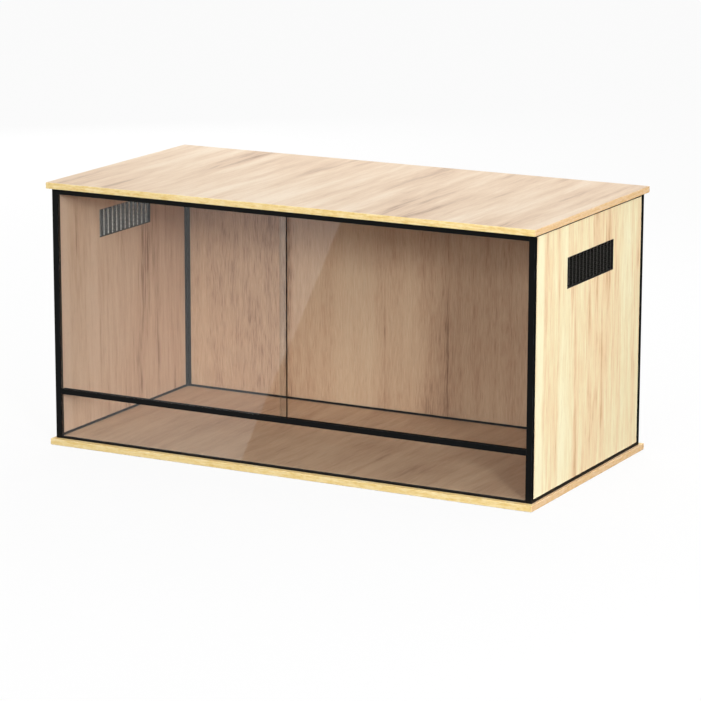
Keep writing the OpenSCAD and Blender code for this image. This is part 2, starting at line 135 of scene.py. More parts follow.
# ---- Camera and light ----
CAMERA_AT = (3.3354, -6.2401, 1.8345)
CAMERA_YAW = 28.056
CAMERA_PITCH = -12.828
CAMERA_ROLL = 0.102
CAMERA_LENS = 165.93
# The slanting edge of the reflection, on the front door's glass, and the card that it mirrors
EDGE_TOP = (0.1293, -0.2845, 0.5707)
EDGE_FOOT = (-0.1116, -0.2845, 0.0224)
CARD_Y = -3.2
CARD_SIZE = 5.0
CARD_RADIANCE = 0.80
# How far left of that edge, on the glass, the reflection starts and ends fading, and what is left
VEIL_FADE = (0.15, 0.75)
VEIL_LOW = 0.06
# Sky strength by the sine of the elevation, besides 0 at 0 and 1 at 1
SKY_STEPS = ((-1.0, 0.02), (0.02, 0.20), (0.50, 1.0))
# Soft lights that nothing mirrors: place, point to face, width, height, radiance
BODY_MIDDLE = (0, 0, 0.3)
LIGHTS = {
    "front_key": ((0.84, -8.2, 3.05), BODY_MIDDLE, 2.2, 1.5, 17.3),
    "low_front": ((0.84, -8.2, 1.41), BODY_MIDDLE, 2.2, 0.84, 10.5),
    "side_key_low": ((5.85, -6.30, 2.67), BODY_MIDDLE, 0.75, 1.02, 114.0),
    "side_key_high": ((6.43, -5.74, 3.95), BODY_MIDDLE, 0.98, 1.38, 37.0),
    "right_fill": ((3.14, -0.85, 0.65), (0.6, 0, 0.3), 1.0, 1.0, 15.5),
    "rear_fill": ((-3.0, 3.5, 1.2), BODY_MIDDLE, 1.5, 1.2, 6.0),
    "left_fill": ((-6.5, 0.9, 0.32), (-0.6, 0, 0.32), 2.2, 0.5, 28.0),
    "overhead": ((-0.5, 1.9, 1.95), (-0.1, 0.2, 0.6), 1.8, 0.8, 5.8),
}
# A wide card that is only mirrored, which greys the whole front a little
FRONT_CARD = ((-0.5, -3.45, -0.6), (-0.5, 0, -0.6), 9.0, 5.0, 0.20)


# ---- Meshes ----

# points (n, 3), faces as lists of point numbers, mark (n,): how worn an edge is or how painted a wire
Shell = namedtuple("Shell", "points faces mark")


def join(shells):
    """Several closed shells as one: each shell's face numbers move on by the points before it."""
    counts = [len(s.points) for s in shells]
    starts = np.cumsum([0] + counts[:-1])
    faces = [[i + start for i in face] for s, start in zip(shells, starts) for face in s.faces]
    return Shell(np.vstack([s.points for s in shells]), faces, np.concatenate([s.mark for s in shells]))


def mirrored(shell, side):
    """The shell as drawn, or its mirror image in X for the left side, with the faces turned back out."""
    if side != LEFT:
        return shell
    return Shell(shell.points * (-1, 1, 1), [face[::-1] for face in shell.faces], shell.mark)


def on_side(name, side):
    """The left or right node's name, and its box, mirrored in X for the left one."""
    node = name.format("left" if side == LEFT else "right")
    low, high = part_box(node)
    if side == LEFT:
        low, high = Vector((-high.x, low.y, low.z)), Vector((-low.x, high.y, high.z))
    return node, low, high


def moved(shell, offset):
    """The shell, shifted."""
    return Shell(shell.points + np.array(offset), shell.faces, shell.mark)


def grid_faces(rows, columns, close_rows=False, close_columns=False):
    """Quads of a grid of points stored row by row; closing joins the last row or column to the first."""
    r = np.arange(rows if close_rows else rows - 1)[:, None]
    c = np.arange(columns if close_columns else columns - 1)[None, :]
    r2, c2 = (r + 1) % rows, (c + 1) % columns
    quads = np.stack([r * columns + c, r * columns + c2, r2 * columns + c2, r2 * columns + c], axis=-1)
    return quads.reshape(-1, 4).tolist()


def tube_faces(rings, sides):
    """Quads between rings of points that follow one another, and a face over each end."""
    ends = [list(range(sides))[::-1], [(rings - 1) * sides + i for i in range(sides)]]
    return grid_faces(rings, sides, close_columns=True) + ends


def eased(corners, radius):
    """A right-angled outline with every corner replaced by a quarter circle.

    With unit steps a and b from a corner to its neighbours, the circle's centre lies at
    corner + radius * (a + b), and its points at centre - radius * (b * cos t + a * sin t).
    Two more points lie just past each arc, so that the flats between them stay flat.
    Returns the points, counter-clockwise as given, and their wear: 1 on an arc, 0 past it.
    """
    p = np.array(corners, float)
    a = np.roll(p, 1, axis=0) - p
    b = np.roll(p, -1, axis=0) - p
    a /= np.linalg.norm(a, axis=1, keepdims=True)
    b /= np.linalg.norm(b, axis=1, keepdims=True)
    t = np.linspace(0, math.pi / 2, ARC_STEPS + 1)[None, :, None]
    centre = (p + radius * (a + b))[:, None, :]
    arc = centre - radius * (b[:, None, :] * np.cos(t) + a[:, None, :] * np.sin(t))
    past = 1.5 * radius
    points = np.concatenate([(p + past * a)[:, None, :], arc, (p + past * b)[:, None, :]], axis=1)
    wear = np.ones(points.shape[:2])
    wear[:, [0, -1]] = 0
    return points.reshape(-1, 2), wear.reshape(-1)


def area(outline):
    """Twice the signed area of an outline: positive when it runs counter-clockwise."""
    x, y = np.asarray(outline).T
    return float(np.sum(x * np.roll(y, -1) - np.roll(x, -1) * y))


def in_frame(flat, along, axis):
    """Puts flat points (n, 2) at the given distances along X, Y or Z, in right-handed order."""
    first = (axis + 1) % 3
    points = np.zeros((len(flat), 3))
    points[:, first], points[:, (axis + 2) % 3] = flat[:, 0], flat[:, 1]
    points[:, axis] = along
    return points


def carried(outlines, axis, start, end, wear):
    """A profile carried straight along an axis from start to end: an outline, with any holes after it.

    Each outline gives one band of quads; both ends are filled with triangles between the outlines.
    """
    loops = [o if (area(o) > 0) == (i == 0) else o[::-1] for i, o in enumerate(map(np.asarray, outlines))]
    flat = np.vstack(loops)
    n = len(flat)
    points = np.vstack([in_frame(flat, start, axis), in_frame(flat, end, axis)])
    faces, at = [], 0
    for loop in loops:
        i = np.arange(len(loop))
        j = (i + 1) % len(loop)
        faces += np.stack([at + i, at + j, at + j + n, at + i + n], axis=-1).tolist()
        at += len(loop)
    cap = np.array(tessellate_polygon([[Vector((*q, 0)) for q in loop] for loop in loops]))
    d1, d2 = flat[cap[:, 1]] - flat[cap[:, 0]], flat[cap[:, 2]] - flat[cap[:, 0]]
    wrong = d1[:, 0] * d2[:, 1] - d1[:, 1] * d2[:, 0] < 0
    cap[wrong] = cap[wrong][:, ::-1]
    faces += (cap + n).tolist() + cap[:, ::-1].tolist()
    return Shell(points, faces, np.tile(np.concatenate([wear, np.zeros(n - len(wear))]), 2))


def bar(corners, axis, start, end, ease=FRAME_EASE):
    """A solid bar of a right-angled section with eased edges."""
    outline, wear = eased(corners, ease)
    return carried([outline], axis, start, end, wear)


def box_corners(low, high):
    """A rectangle's corners, counter-clockwise."""
    return [low, (high[0], low[1]), high, (low[0], high[1])]


def comb(walls, tip, root):
    """One side of a channelled section: from left to right round each wall's tip, and along the root."""
    corners = []
    for start, end in walls:
        corners += [(start, root), (start, tip), (end, tip), (end, root)]
    return corners[1:-1]


def plate(low, high, axis, corner_r, arris):
    """A flat block between two corners whose outline has round corners and whose faces have an arris.

    Rings of one outline lie one over the other along the axis. Near a face the ring draws in by
    arris * (1 - cos t) while it climbs by arris * sin t, a quarter circle; arris is a radius for the
    low face and one for the high face. A last ring a little further in keeps each face flat.
    """
    low, high = np.array(low), np.array(high)
    u, v = (axis + 1) % 3, (axis + 2) % 3
    t = np.linspace(0, math.pi / 2, ARC_STEPS + 1)
    rings = []
    for radius, level, way in ((arris[0], low[axis], 1), (arris[1], high[axis], -1)):
        rise = [(radius * (1 - math.cos(a)), level + way * radius * (1 - math.sin(a)), 1) for a in t]
        rise.append((1.6 * radius, level, 0))
        rings += rise[::-1] if way > 0 else rise
    corner = np.array([low[[u, v]], [high[u], low[v]], high[[u, v]], [low[u], high[v]]])
    inward = np.array([[1, 1], [-1, 1], [-1, -1], [1, -1]])
    start = np.array([math.pi, 1.5 * math.pi, 0, math.pi / 2])
    turn = start[:, None] + t[None, :]
    direction = np.stack([np.cos(turn), np.sin(turn)], axis=-1)
    points, wear = [], []
    r = max(corner_r, 1.7 * max(arris))
    for draw_in, level, worn in rings:
        flat = (corner + inward * r)[:, None, :] + (r - draw_in) * direction
        points.append(in_frame(flat.reshape(-1, 2), level, axis))
        wear.append(np.full(flat.shape[0] * flat.shape[1], float(worn)))
    return Shell(np.vstack(points), tube_faces(len(rings), len(points[0])), np.concatenate(wear))


def new_object(name, data):
    """An object in the scene."""
    obj = bpy.data.objects.new(name, data)
    bpy.context.scene.collection.objects.link(obj)
    return obj


def piece(node, kind, shells, slot, *materials, side=None, body="cabinet", by_face=None):
    """Joins the shells to one mesh, mirrored for the left side, that stands for the CAD node."""
    name = node + "_" + kind
    shell = mirrored(join(shells), side)
    mesh = bpy.data.meshes.new(name)
    mesh.from_pydata(shell.points.tolist(), [], shell.faces)
    mesh.shade_smooth()
    mesh.set_sharp_from_angle(angle=SHARP_ANGLE)
    mark = mesh.attributes.new("mark", "FLOAT", "POINT")
    mark.data.foreach_set("value", shell.mark.astype(np.float32))
    for material in materials:
        mesh.materials.append(material)
    if by_face is not None:
        mesh.polygons.foreach_set("material_index", by_face(mesh).astype(np.int32))
    obj = new_object(name, mesh)
    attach(obj, body)
    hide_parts(node)


# ---- Materials ----

def colour(red, green, blue):
    """A screen colour from 0 to 255 as the linear colour that the shaders take."""
    c = np.array([red, green, blue]) / 255
    linear = np.where(c <= 0.04045, c / 12.92, ((c + 0.055) / 1.055) ** 2.4)
    return (*linear.tolist(), 1.0)


class Tree:
    """A node tree; its methods add a node and return what comes out of it, but node returns it."""

    def __init__(self, owner, empty=True):
        owner.use_nodes = True
        self.tree = owner.node_tree
        if empty:
            self.tree.nodes.clear()

    def node(self, kind, inputs, **settings):
        """A new node, whose inputs are sockets to link or plain values."""
        node = self.tree.nodes.new(kind)
        for key, value in settings.items():
            setattr(node, key, value)
        for socket, value in inputs.items():
            if isinstance(value, bpy.types.NodeSocket):
                self.tree.links.new(value, node.inputs[socket])
            else:
                node.inputs[socket].default_value = value
        return node

    def separate(self, vector):
        return self.node("ShaderNodeSeparateXYZ", {0: vector}).outputs

    def combine(self, x, y, z):
        return self.node("ShaderNodeCombineXYZ", {0: x, 1: y, 2: z}).outputs[0]

    def math(self, operation, a, b=0.0):
        return self.node("ShaderNodeMath", {0: a, 1: b}, operation=operation).outputs[0]

    def plus(self, total, value, weight):
        """total + value * weight."""
        return self.math("ADD", total, self.math("MULTIPLY", value, weight))

    def noise(self, vector, scale, detail=2.0, rough=0.5, offset=(0, 0, 0)):
        """Noise with that many features per metre: one number, or one along each axis."""
        scale = scale if isinstance(scale, tuple) else (scale, scale, scale)
        placed = self.node("ShaderNodeMapping", {"Vector": vector, "Scale": scale, "Location": offset})
        node = self.node("ShaderNodeTexNoise", {"Vector": placed.outputs[0], "Scale": 1.0,
                                                "Detail": detail, "Roughness": rough})
        return node.outputs[0]

    def range(self, value, low, high, to_low=0.0, to_high=1.0):
        """Smoothly from one number at low to another at high."""
        inputs = {"Value": value, "From Min": low, "From Max": high, "To Min": to_low, "To Max": to_high}
        return self.node("ShaderNodeMapRange", inputs, interpolation_type="SMOOTHSTEP").outputs[0]

    def mix(self, fac, a, b, blend="MIX"):
        node = self.node("ShaderNodeMix", {0: fac, 6: a, 7: b}, data_type="RGBA", blend_type=blend)
        return node.outputs[2]

    def ramp(self, value, stops):
        node = self.node("ShaderNodeValToRGB", {0: value})
        elements = node.color_ramp.elements
        for _ in stops[2:]:
            elements.new(0.5)
        for element, (at, shade) in zip(elements, stops):
            element.position = at
            element.color = shade
        return node.outputs[0]

    def bump(self, height, distance, strength):
        inputs = {"Height": height, "Distance": distance, "Strength": strength}
        return self.node("ShaderNodeBump", inputs).outputs[0]


class Finish(Tree):
    """One material, from its name to its surface; at is where on the object a point lies."""

    def __init__(self, name):
        self.material = bpy.data.materials.new(name)
        super().__init__(self.material)
        self.at = self.node("ShaderNodeTexCoord", {}).outputs["Object"]

    def mark(self):
        """The wear or spray that the mesh carries."""
        return self.node("ShaderNodeAttribute", {}, attribute_name="mark").outputs["Fac"]

    def surface(self, shader):
        self.node("ShaderNodeOutputMaterial", {"Surface": shader})
        return self.material

    def principled(self, **sockets):
        """The finished material: the sockets are the shader's own names with _ for a space."""
        inputs = {key.replace("_", " "): value for key, value in sockets.items()}
        return self.surface(self.node("ShaderNodeBsdfPrincipled", inputs).outputs[0])


# What a wood decor shows: its tones from pale to vein, and the tones of its outer faces or ends
# where they differ, on the side panels as painted shade and light; how strongly each layer of figure
# moves the tone; how many features of it lie in a metre across and along the grain; how far the lines
# sway; its plank bands, some of them painted light, its seams and flecks.
Wood = namedtuple("Wood", "across along tones outer band streak line band_at streak_at line_at sway "
                          "planks seams fleck seed")
# Tones that hold further out along one axis than a distance from the object's middle
Outer = namedtuple("Outer", "tones axis beyond")


def wood_decor(name, wood):
    """Printed wood decor under matt lacquer, with the grain drawn out along one axis of the object.

    tone = 0.5 + band * (slow noise) + streak * (middle noise) + line * (fine noise), where every
    noise changes many times faster across the grain than along it, on lines that sway. A ramp turns
    tone into colour; pores and flecks darken it, and seams and single plank bands shift it; a plank
    band can be painted light, a strip made brighter where light falls strongly on it.
    """
    f = Finish(name)
    axes = f.separate(f.at)
    across, along = "XYZ".index(wood.across), "XYZ".index(wood.along)
    depth = 3 - along - across
    start = f.combine(axes[across], axes[along], axes[depth])
    bend = f.math("SUBTRACT", f.noise(start, (2.6, 0.9, 2.6), 1, offset=(wood.seed, 0, 0)), 0.5)
    shiver = f.math("SUBTRACT", f.noise(start, (19, 6, 19), 3, 0.6, (0, wood.seed, 0)), 0.5)
    side = f.plus(f.plus(axes[across], bend, 0.05), shiver, wood.sway)
    grain = f.combine(side, axes[along], axes[depth])
    layers = ((wood.band, wood.band_at, (0, wood.seed, 0)),
              (wood.streak, wood.streak_at, (0, 0, wood.seed)),
              (wood.line, wood.line_at, (wood.seed, wood.seed, 0)))
    tone = 0.5
    for weight, (fine, long), offset in layers:
        layer = f.noise(grain, (fine, long, fine), 3, 0.6, offset)
        tone = f.plus(tone, f.math("SUBTRACT", layer, 0.5), weight)
    for at, half, shift in wood.planks:
        gap = f.math("ABSOLUTE", f.math("SUBTRACT", side, at))
        tone = f.math("ADD", tone, f.range(gap, 0.6 * half, 1.4 * half, shift, 0.0))
    for at in wood.seams:
        gap = f.math("ABSOLUTE", f.math("SUBTRACT", axes[across], at))
        broken = f.range(f.noise(start, (3, 7, 3), 2), 0.35, 0.65)
        tone = f.plus(tone, broken, f.range(gap, 0.5 * MM, 3 * MM, 0.24, 0.0))
    stops = (0.12, 0.42, 0.68, 0.95)
    inked = f.ramp(tone, list(zip(stops, wood.tones)))
    for shades, axis, beyond in wood.outer:
        far = f.math("ABSOLUTE", axes["XYZ".index(axis)])
        outside = f.range(far, beyond - 0.5 * MM, beyond + 0.5 * MM)
        inked = f.mix(outside, inked, f.ramp(tone, list(zip(stops, shades))))
    vein = wood.tones[3]
    pores = f.range(f.noise(grain, (900, 42, 900), 1), 0.60, 0.72)
    inked = f.mix(f.math("MULTIPLY", pores, 0.22), inked, vein)
    knots = f.range(f.noise(grain, (30, 7, 30), 3, 0.7, (0, 2 * wood.seed, 0)), 0.66, 0.80)
    inked = f.mix(f.math("MULTIPLY", knots, wood.fleck), inked, vein)
    rough = f.range(tone, 0.3, 0.7, 0.46, 0.60)
    height = f.math("SUBTRACT", f.math("MULTIPLY", tone, 0.3), pores)
    return f.principled(Base_Color=inked, Roughness=rough, Normal=f.bump(height, 0.05 * MM, 0.5))


def edge_band(name, pale, mean, deep, seed):
    """Glued-on banding: fine grain that runs along the band, scuffed where its edges are eased.

    The short strips at the two ends of a board are browner than the long ones.
    """
    f = Finish(name)
    streak = f.noise(f.at, (16, 16, 260), 3, 0.65, (seed, 0, 0))
    mottle = f.noise(f.at, (75, 75, 210), 3, 0.65, (0, seed, 0))
    line = f.noise(f.at, (26, 26, 1900), 2, 0.6, (0, 0, seed))
    tone = f.plus(f.plus(f.math("MULTIPLY", streak, 0.35), mottle, 0.45), line, 0.2)
    shade = f.ramp(tone, [(0.36, pale), (0.5, mean), (0.64, deep)])
    at_end = f.range(f.math("ABSOLUTE", f.separate(f.at)[0]), *BAND_END)
    shade = f.mix(at_end, shade, f.mix(1.0, shade, colour(237, 225, 243), "MULTIPLY"))
    scuffs = f.math("MULTIPLY", f.mark(), f.range(f.noise(f.at, (90, 90, 300), 3), 0.45, 0.7))
    shade = f.mix(f.math("MULTIPLY", scuffs, 0.35), shade, colour(250, 238, 214))
    rough = f.range(streak, 0.3, 0.7, 0.42, 0.55)
    return f.principled(Base_Color=shade, Roughness=rough, Normal=f.bump(line, 0.04 * MM, 0.5))


def frame_paint():
    """Satin black powder coat: fine orange peel, faint drawing lines, dull where edges are handled."""
    f = Finish("black_frame")
    peel = f.noise(f.at, 900)
    cloud = f.noise(f.at, 14, 3, 0.6)
    rubbed = f.math("MULTIPLY", f.mark(), f.range(f.noise(f.at, 60, 3), 0.42, 0.68))
    shade = f.mix(cloud, colour(6, 7, 7), colour(14, 15, 15))
    shade = f.mix(f.math("MULTIPLY", rubbed, 0.5), shade, colour(44, 45, 50))
    rough = f.math("SUBTRACT", f.range(cloud, 0.3, 0.7, 0.36, 0.46), f.math("MULTIPLY", rubbed, 0.1))
    return f.principled(Base_Color=shade, Roughness=rough, Specular_IOR_Level=0.18,
                        Normal=f.bump(peel, 0.02 * MM, 0.5))


# What a face of the glass lets through, and the share that it mirrors face on
GLASS_TINT = (0.930, 0.936, 0.924, 1)
GLASS_R0 = 0.04


def pane_glass():
    """Lightly grey-tinted float glass: each face lets light through with its tint and mirrors a share.

    The share follows Schlick: r0 + (1 - r0) * facing ** 5, with r0 = GLASS_R0.
    """
    f = Finish("tinted_glass")
    facing = f.node("ShaderNodeLayerWeight", {"Blend": 0.5}).outputs["Facing"]
    share = f.math("ADD", f.math("MULTIPLY", f.math("POWER", facing, 5.0), 1 - GLASS_R0), GLASS_R0)
    smudge = f.noise(f.at, 9, 4, 0.65)
    rough = f.range(smudge, 0.45, 0.75, 0.0, 0.02)
    through = f.node("ShaderNodeBsdfTransparent", {"Color": GLASS_TINT}).outputs[0]
    mirror = f.node("ShaderNodeBsdfGlossy", {"Color": (1, 1, 1, 1), "Roughness": rough}).outputs[0]
    return f.surface(f.node("ShaderNodeMixShader", {0: share, 1: through, 2: mirror}).outputs[0])


def dark_finish(name, scale, dark, light, rough, specular, relief):
    """A nearly black finish: its tone, roughness and relief all follow one fine noise."""
    f = Finish(name)
    grain = f.noise(f.at, scale)
    return f.principled(Base_Color=f.mix(grain, dark, light), Roughness=f.range(grain, 0.3, 0.7, *rough),
                        Specular_IOR_Level=specular, Normal=f.bump(grain, *relief))


def moulded(name, dark, light, rough, grain):
    """Moulded plastic or rubber: a fine spark-eroded grain and slow changes of tone."""
    f = Finish(name)
    fine = f.noise(f.at, grain, 3, 0.6)
    slow = f.noise(f.at, 22, 3, 0.6)
    shade = f.mix(f.range(slow, 0.3, 0.7), dark, light)
    shade = f.mix(f.math("MULTIPLY", f.mark(), 0.3), shade, colour(70, 70, 72))
    return f.principled(Base_Color=shade, Roughness=f.range(fine, 0.3, 0.7, *rough),
                        Normal=f.bump(fine, 0.03 * MM, 0.6))


def vent_wire():
    """Galvanised wire, sprayed black from outside; unsprayed towards the cabinet, where its near-white
    tone is a painted highlight on silvery zinc.
    """
    f = Finish("vent_wire")
    sprayed = f.range(f.mark(), 0.44, 0.54)
    spangle = f.noise(f.at, 700, 3, 0.6)
    # Nearly white: painted highlight on the unsprayed zinc side.
    bare_zinc_and_highlight = f.mix(spangle, colour(240, 241, 240), colour(252, 252, 250))
    paint = f.mix(spangle, colour(32, 31, 29), colour(62, 60, 55))
    shade = f.mix(sprayed, bare_zinc_and_highlight, paint)
    rough = f.range(spangle, 0.3, 0.7, 0.38, 0.55)
    return f.principled(Base_Color=shade, Metallic=0.15, Roughness=rough,
                        Normal=f.bump(spangle, 0.02 * MM, 0.5))


def plated(name, dark, light, rough):
    """Zinc-plated steel: bright metal with brushed, slightly cloudy plating."""
    f = Finish(name)
    brushed = f.noise(f.at, (2600, 260, 260), 2, 0.6)
    cloud = f.noise(f.at, 160, 3, 0.6)
    shade = f.mix(cloud, dark, light)
    return f.principled(Base_Color=shade, Metallic=1.0, Roughness=f.range(brushed, 0.3, 0.7, *rough),
                        Normal=f.bump(brushed, 0.01 * MM, 0.5))


def floor_paper():
    """The seamless pale ground: it glows, so that it stays white, and takes only a trace of shade."""
    f = Finish("studio_ground")
    fibre = f.noise(f.at, 30, 3)
    shade = f.mix(fibre, (0.060, 0.060, 0.060, 1), (0.066, 0.066, 0.066, 1))
    return f.principled(Base_Color=shade, Roughness=1.0, Specular_IOR_Level=0.0,
                        Emission_Color=(1, 1, 1, 1), Emission_Strength=0.91)


def tones(*shades):
    """Screen colours from pale to vein."""
    return tuple(colour(*shade) for shade in shades)


BOARD_TONES = tones((231, 213, 190), (221, 198, 172), (211, 186, 161), (168, 142, 122))
# The side panels are one board: its inner-face tones below are browner than its outer-face tones, painted
# shade for the dim inside of the cabinet and painted light for the bright outside.
SHADED_INNER_TONES = tones((240, 211, 188), (234, 203, 177), (223, 188, 162), (164, 126, 103))
LIT_OUTER_TONES = tones((236, 227, 191), (229, 213, 173), (225, 197, 158), (190, 152, 114))
BAND_TONES = tones((245, 226, 178), (236, 209, 146), (226, 194, 128), (200, 165, 115))
BAND_DEEP = colour(219, 183, 104)
END_TONES = tones((230, 201, 168), (223, 188, 148), (212, 173, 130), (190, 150, 112))
BACK_TONES = tones((231, 204, 176), (222, 190, 161), (207, 171, 143), (145, 109, 88))
FLOOR_TONES = tones((231, 203, 175), (222, 191, 162), (209, 175, 147), (161, 129, 104))
BOARD_FIGURE = (1.1, 1.3, 0.5, (8, 1.4), (32, 2.8), (240, 12), 0.018, (), (), 0.2)

WOODS = {
    "top_board_decor": Wood("X", "Y", BOARD_TONES, (), *BOARD_FIGURE, 3.1),
    "base_board_decor": Wood(
        "X", "Y", BOARD_TONES,
        (Outer(END_TONES, "X", BODY_HALF_W), Outer(BAND_TONES, "Y", BODY_HALF_D)), *BOARD_FIGURE, 8.4),
    "floor_decor": Wood(
        "X", "Y", FLOOR_TONES, (), 1.1, 0.8, 0.6, (8, 1.6), (40, 4), (280, 16), 0.020,
        (), (), 0.3, 5.7),
    "side_panel_decor": Wood(
        "Y", "Z", SHADED_INNER_TONES, (Outer(LIT_OUTER_TONES, "X", PANEL_MID_X),), 0.9, 1.1, 1.0,
        (16, 1.1), (50, 3.0), (170, 12), 0.014,
        # The first plank band, a pale strip along the front edge, is painted light: the front of the side
        # panel made brighter where the light falls strongest.
        ((-256 * MM, 16 * MM, -0.45), (-142 * MM, 20 * MM, -0.2), (-75 * MM, 12 * MM, 0.12),
         (75 * MM, 25 * MM, 0.15), (230 * MM, 60 * MM, -0.05)), (), 0.15, 1.3),
    "back_panel_decor": Wood(
        "X", "Z", BACK_TONES, (), 0.8, 0.6, 1.0, (8, 1.8), (60, 3.2), (420, 26), 0.010,
        ((-400 * MM, 100 * MM, 0.11), (-310 * MM, 10 * MM, 0.14), (-125 * MM, 48 * MM, -0.2),
         (75 * MM, 45 * MM, 0.12)), (-46 * MM, 118 * MM), 0.12, 6.2),
}


# ---- Parts ----

def dress(node, material):
    """A CAD node whose shape is right keeps it and gets its finish."""
    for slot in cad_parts[node].material_slots:
        slot.material = material


def edge_bands(node, finish, slot):
    """Four strips round a board: long ones the full width, short ones between them, eased outside."""
    low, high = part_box(node)
    outside_low, outside_high = (BAND_EASE, BAND_INNER_EASE), (BAND_INNER_EASE, BAND_EASE)
    inset = BAND_T + BAND_JOINT
    shells = []
    for x, y, ease in ((low.x, low.y, outside_low), (high.x - BAND_T, high.y - BAND_T, outside_high)):
        long_strip = (low.x, y, low.z), (high.x, y + BAND_T, high.z)
        short_strip = (x, low.y + inset, low.z), (x + BAND_T, high.y - inset, high.z)
        shells += [plate(*long_strip, 1, BAND_EASE, ease), plate(*short_strip, 0, BAND_CORNER_R, ease)]
    piece(node, "strips", shells, slot, finish)


def port_holes(low, high):
    """What a hollow post's section leaves out: a round screw port and a pocket on each side of it.

    A pocket is a rectangle less the port's ring and its rib: three corners follow the wall, and the
    fourth side is the ring's arc between the two places where the rib meets it.
    """
    x0, y0 = low[0] + POST_WALL, low[1] + POST_WALL
    x1, y1 = high[0] - POST_WALL, high[1] - POST_WALL
    xc, yc = (x0 + x1) / 2, (y0 + y1) / 2
    ring, rib = PORT_D / 2 + PORT_WALL, PORT_WALL / 2
    start = math.asin(rib / ring)
    a = np.linspace(start, math.pi - start, 15)
    holes = []
    for s, x_wall in ((-1, x0), (1, x1)):
        arc = np.stack([xc + s * ring * np.sin(a), yc - ring * np.cos(a)], axis=-1)
        corners = np.array([[xc + s * rib, y1], [x_wall, y1], [x_wall, y0], [xc + s * rib, y0]])
        holes.append(np.vstack([arc, corners]))
    c = np.linspace(0, 2 * math.pi, 24, endpoint=False)
    holes.append(np.stack([xc + PORT_D / 2 * np.cos(c), yc + PORT_D / 2 * np.sin(c)], axis=-1))
    return holes


def post_tongue(low, high, z):
    """A tongue that runs up a post from over the bottom rail to under the top rail."""
    return bar(box_corners(low, high), 2, z[0] + BOTTOM_RAIL_H, z[1] - TOP_RAIL_H, TONGUE_EASE)


def front_post(side, finish):
    """A hollow front post with the tongue that enters the side panel."""
    node, low, high = on_side("front_{}_post", side)
    back_y = low.y + FRONT_POST_D
    section = (low.x, low.y), (high.x, back_y)
    outline, wear = eased(box_corners(*section), POST_EASE)
    post = carried([outline, *port_holes(*section)], 2, low.z, high.z, wear)
    mid_x, half = high.x - PANEL_T / 2, TONGUE_T / 2
    tongue = post_tongue((mid_x - half, back_y), (mid_x + half, back_y + TONGUE_LEN), (low.z, high.z))
    piece(node, "tube", [post, tongue], "black_frame", finish, side=side)


def rear_post(side, finish):
    """A hollow corner post with a leg inside along each panel and a tongue into each panel."""
    node, low, high = on_side("rear_{}_post", side)
    x, y = high.x, high.y
    px, py = x - REAR_POST_W, y - REAR_POST_W
    web = REAR_POST_W - PANEL_T
    reach_x, reach_y = x - PANEL_T - INNER_LEG, y - PANEL_T - INNER_LEG
    corners = [(px, y), (px, py + web), (reach_x, py + web), (reach_x, py + web - INNER_LIP_T),
               (px + web - INNER_LIP_T, py + web - INNER_LIP_T), (px + web - INNER_LIP_T, reach_y),
               (px + web, reach_y), (px + web, py), (x, py), (x, y)]
    outline, wear = eased(corners, FRAME_EASE)
    post = carried([outline, *port_holes((px, py), (x, y))], 2, low.z, high.z, wear)
    z, half, mid = (low.z, high.z), TONGUE_T / 2, PANEL_T / 2
    tongues = [post_tongue((x - mid - half, py - TONGUE_LEN), (x - mid + half, py), z),
               post_tongue((px - TONGUE_LEN, y - mid - half), (px, y - mid + half), z)]
    piece(node, "tube", [post, *tongues], "black_frame", finish, side=side)


RAIL_WALLS = (0, RAIL_WALL), (PANEL_T - RAIL_WALL, PANEL_T)
BOTTOM_SECTION = (comb(RAIL_WALLS, 0, BOTTOM_RAIL_H - RAIL_WALL)
                  + [(PANEL_T, BOTTOM_RAIL_H), (0, BOTTOM_RAIL_H)])
TOP_SECTION = [(0, 0), (PANEL_T, 0)] + comb(RAIL_WALLS, TOP_RAIL_H, RAIL_WALL)[::-1]


def on_panel(points, out, z0, at_back):
    """Section points given as (in from the outer face, up), as (y, z) at the back or (z, x) at a side."""
    p = np.array(points, float)
    flat = [out - p[:, 0], p[:, 1] + z0]
    return np.stack(flat if at_back else flat[::-1], axis=-1)


def panel_rail(name, finish, top, side=None):
    """A rail over or under a panel: a channel, the tongue into the panel and, below, an inner lip."""
    node, low, high = on_side(name, side)
    at_back = side is None
    axis, out = (0, high.y) if at_back else (1, high.x)
    start, end = low[axis], high[axis]
    base = high.z - TOP_RAIL_H if top else low.z
    root = -TONGUE_LEN if top else BOTTOM_RAIL_H
    tongue = box_corners(((PANEL_T - TONGUE_T) / 2, root), ((PANEL_T + TONGUE_T) / 2, root + TONGUE_LEN))
    channel = on_panel(TOP_SECTION if top else BOTTOM_SECTION, out, base, at_back)
    shells = [bar(channel, axis, start, end),
              bar(on_panel(tongue, out, base, at_back), axis, start + TONGUE_STOP, end - TONGUE_STOP,
                  TONGUE_EASE)]
    if not top:
        gap = INNER_LEG - (REAR_POST_W - PANEL_T)
        lip = box_corners((PANEL_T, 0), (PANEL_T + INNER_LIP_T, BOTTOM_LIP_H))
        lip_start = start + (gap if at_back else 0)
        shells.append(bar(on_panel(lip, out, base, at_back), axis, lip_start, end - gap))
    piece(node, "bar", shells, "black_frame", finish, side=side)


def height(node):
    """How tall a node's box is."""
    low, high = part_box(node)
    return high.z - low.z


def front_rail(node, finish, section, web):
    """A front rail: its section carried from post to post, and a tenon of its web at each end."""
    low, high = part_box(node)
    x0, x1 = low.x + TENON_LEN, high.x - TENON_LEN
    p = np.array(section) + (low.y, low.z)
    tenon = box_corners((low.y + TENON_Y[0], low.z + web[0]), (low.y + TENON_Y[1], low.z + web[1]))
    shells = [bar(p, 0, x0, x1)]
    shells += [bar(tenon, 0, a, b, TONGUE_EASE) for a, b in ((low.x, x0), (x1, high.x))]
    piece(node, "bar", shells, "black_frame", finish)


